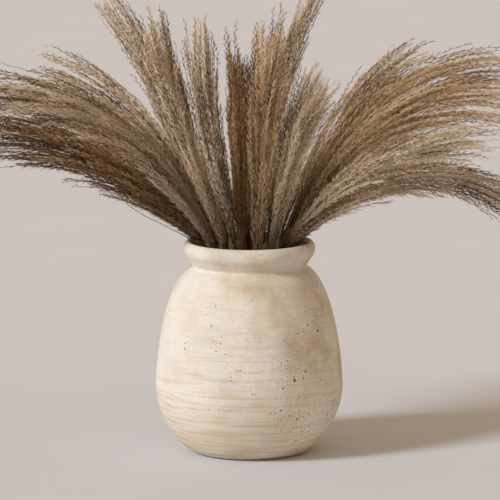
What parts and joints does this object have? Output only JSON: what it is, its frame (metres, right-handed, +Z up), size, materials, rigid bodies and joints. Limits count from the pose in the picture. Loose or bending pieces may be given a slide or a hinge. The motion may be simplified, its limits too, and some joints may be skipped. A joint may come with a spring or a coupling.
{
  "type": "flower vase",
  "caption": "Pear-shaped thrown clay vase with a pinched neck and a thick flared lip, holding a wide loose bunch of dried silver grass stems.",
  "frame": {"origin": "centre of the vase's flat resting face", "axes": "+Z up out of the mouth, +X to the right and +Y to the back of the bunch as it is seen from the front"},
  "size_m": [0.6348, 0.4042, 0.5031],
  "materials": {
    "fired_clay": "matte",
    "dried_stalk": "satin",
    "dried_plume": "matte"
  },
  "bodies": {
    "vase": {"vase_body": "fired_clay"},
    "stem_01": {"stalk_01": "dried_stalk", "plume_01": "dried_plume"},
    "stem_02": {"stalk_02": "dried_stalk", "plume_02": "dried_plume"},
    "stem_03": {"stalk_03": "dried_stalk", "plume_03": "dried_plume"},
    "stem_04": {"stalk_04": "dried_stalk", "plume_04": "dried_plume"},
    "stem_05": {"stalk_05": "dried_stalk", "plume_05": "dried_plume"},
    "stem_06": {"stalk_06": "dried_stalk", "plume_06": "dried_plume"},
    "stem_07": {"stalk_07": "dried_stalk", "plume_07": "dried_plume"},
    "stem_08": {"stalk_08": "dried_stalk", "plume_08": "dried_plume"},
    "stem_09": {"stalk_09": "dried_stalk", "plume_09": "dried_plume"},
    "stem_10": {"stalk_10": "dried_stalk", "plume_10": "dried_plume"},
    "stem_11": {"stalk_11": "dried_stalk", "plume_11": "dried_plume"},
    "stem_12": {"stalk_12": "dried_stalk", "plume_12": "dried_plume"},
    "stem_13": {"stalk_13": "dried_stalk", "plume_13": "dried_plume"},
    "stem_14": {"stalk_14": "dried_stalk", "plume_14": "dried_plume"},
    "stem_15": {"stalk_15": "dried_stalk", "plume_15": "dried_plume"},
    "stem_16": {"stalk_16": "dried_stalk", "plume_16": "dried_plume"},
    "stem_17": {"stalk_17": "dried_stalk", "plume_17": "dried_plume"},
    "stem_18": {"stalk_18": "dried_stalk", "plume_18": "dried_plume"},
    "stem_19": {"stalk_19": "dried_stalk", "plume_19": "dried_plume"},
    "stem_20": {"stalk_20": "dried_stalk", "plume_20": "dried_plume"},
    "stem_21": {"stalk_21": "dried_stalk", "plume_21": "dried_plume"},
    "stem_22": {"stalk_22": "dried_stalk", "plume_22": "dried_plume"},
    "stem_23": {"stalk_23": "dried_stalk", "plume_23": "dried_plume"}
  },
  "joints": [
    {"name": "stem_01_lift", "type": "slide", "parent": "vase", "child": "stem_01", "axis": [0.1381, 0, 0.9904], "range_m": [0, 0.24]},
    {"name": "stem_02_lift", "type": "slide", "parent": "vase", "child": "stem_02", "axis": [0.1298, 0.0472, 0.9904], "range_m": [0, 0.24]},
    {"name": "stem_03_lift", "type": "slide", "parent": "vase", "child": "stem_03", "axis": [0.1058, 0.0888, 0.9904], "range_m": [0, 0.24]},
    {"name": "stem_04_lift", "type": "slide", "parent": "vase", "child": "stem_04", "axis": [0.0691, 0.1196, 0.9904], "range_m": [0, 0.24]},
    {"name": "stem_05_lift", "type": "slide", "parent": "vase", "child": "stem_05", "axis": [0.024, 0.136, 0.9904], "range_m": [0, 0.24]},
    {"name": "stem_06_lift", "type": "slide", "parent": "vase", "child": "stem_06", "axis": [-0.024, 0.136, 0.9904], "range_m": [0, 0.24]},
    {"name": "stem_07_lift", "type": "slide", "parent": "vase", "child": "stem_07", "axis": [-0.0691, 0.1196, 0.9904], "range_m": [0, 0.24]},
    {"name": "stem_08_lift", "type": "slide", "parent": "vase", "child": "stem_08", "axis": [-0.1058, 0.0888, 0.9904], "range_m": [0, 0.24]},
    {"name": "stem_09_lift", "type": "slide", "parent": "vase", "child": "stem_09", "axis": [-0.1298, 0.0472, 0.9904], "range_m": [0, 0.24]},
    {"name": "stem_10_lift", "type": "slide", "parent": "vase", "child": "stem_10", "axis": [-0.1381, 0, 0.9904], "range_m": [0, 0.24]},
    {"name": "stem_11_lift", "type": "slide", "parent": "vase", "child": "stem_11", "axis": [-0.1298, -0.0472, 0.9904], "range_m": [0, 0.24]},
    {"name": "stem_12_lift", "type": "slide", "parent": "vase", "child": "stem_12", "axis": [-0.1058, -0.0888, 0.9904], "range_m": [0, 0.24]},
    {"name": "stem_13_lift", "type": "slide", "parent": "vase", "child": "stem_13", "axis": [-0.0691, -0.1196, 0.9904], "range_m": [0, 0.24]},
    {"name": "stem_14_lift", "type": "slide", "parent": "vase", "child": "stem_14", "axis": [-0.024, -0.136, 0.9904], "range_m": [0, 0.24]},
    {"name": "stem_15_lift", "type": "slide", "parent": "vase", "child": "stem_15", "axis": [0.024, -0.136, 0.9904], "range_m": [0, 0.24]},
    {"name": "stem_16_lift", "type": "slide", "parent": "vase", "child": "stem_16", "axis": [0.0691, -0.1196, 0.9904], "range_m": [0, 0.24]},
    {"name": "stem_17_lift", "type": "slide", "parent": "vase", "child": "stem_17", "axis": [0.1058, -0.0888, 0.9904], "range_m": [0, 0.24]},
    {"name": "stem_18_lift", "type": "slide", "parent": "vase", "child": "stem_18", "axis": [0.1298, -0.0472, 0.9904], "range_m": [0, 0.24]},
    {"name": "stem_19_lift", "type": "slide", "parent": "vase", "child": "stem_19", "axis": [0.0188, 0.0061, 0.9998], "range_m": [0, 0.24]},
    {"name": "stem_20_lift", "type": "slide", "parent": "vase", "child": "stem_20", "axis": [0, 0.0197, 0.9998], "range_m": [0, 0.24]},
    {"name": "stem_21_lift", "type": "slide", "parent": "vase", "child": "stem_21", "axis": [-0.0188, 0.0061, 0.9998], "range_m": [0, 0.24]},
    {"name": "stem_22_lift", "type": "slide", "parent": "vase", "child": "stem_22", "axis": [-0.0116, -0.016, 0.9998], "range_m": [0, 0.24]},
    {"name": "stem_23_lift", "type": "slide", "parent": "vase", "child": "stem_23", "axis": [0.0116, -0.016, 0.9998], "range_m": [0, 0.24]}
  ]
}
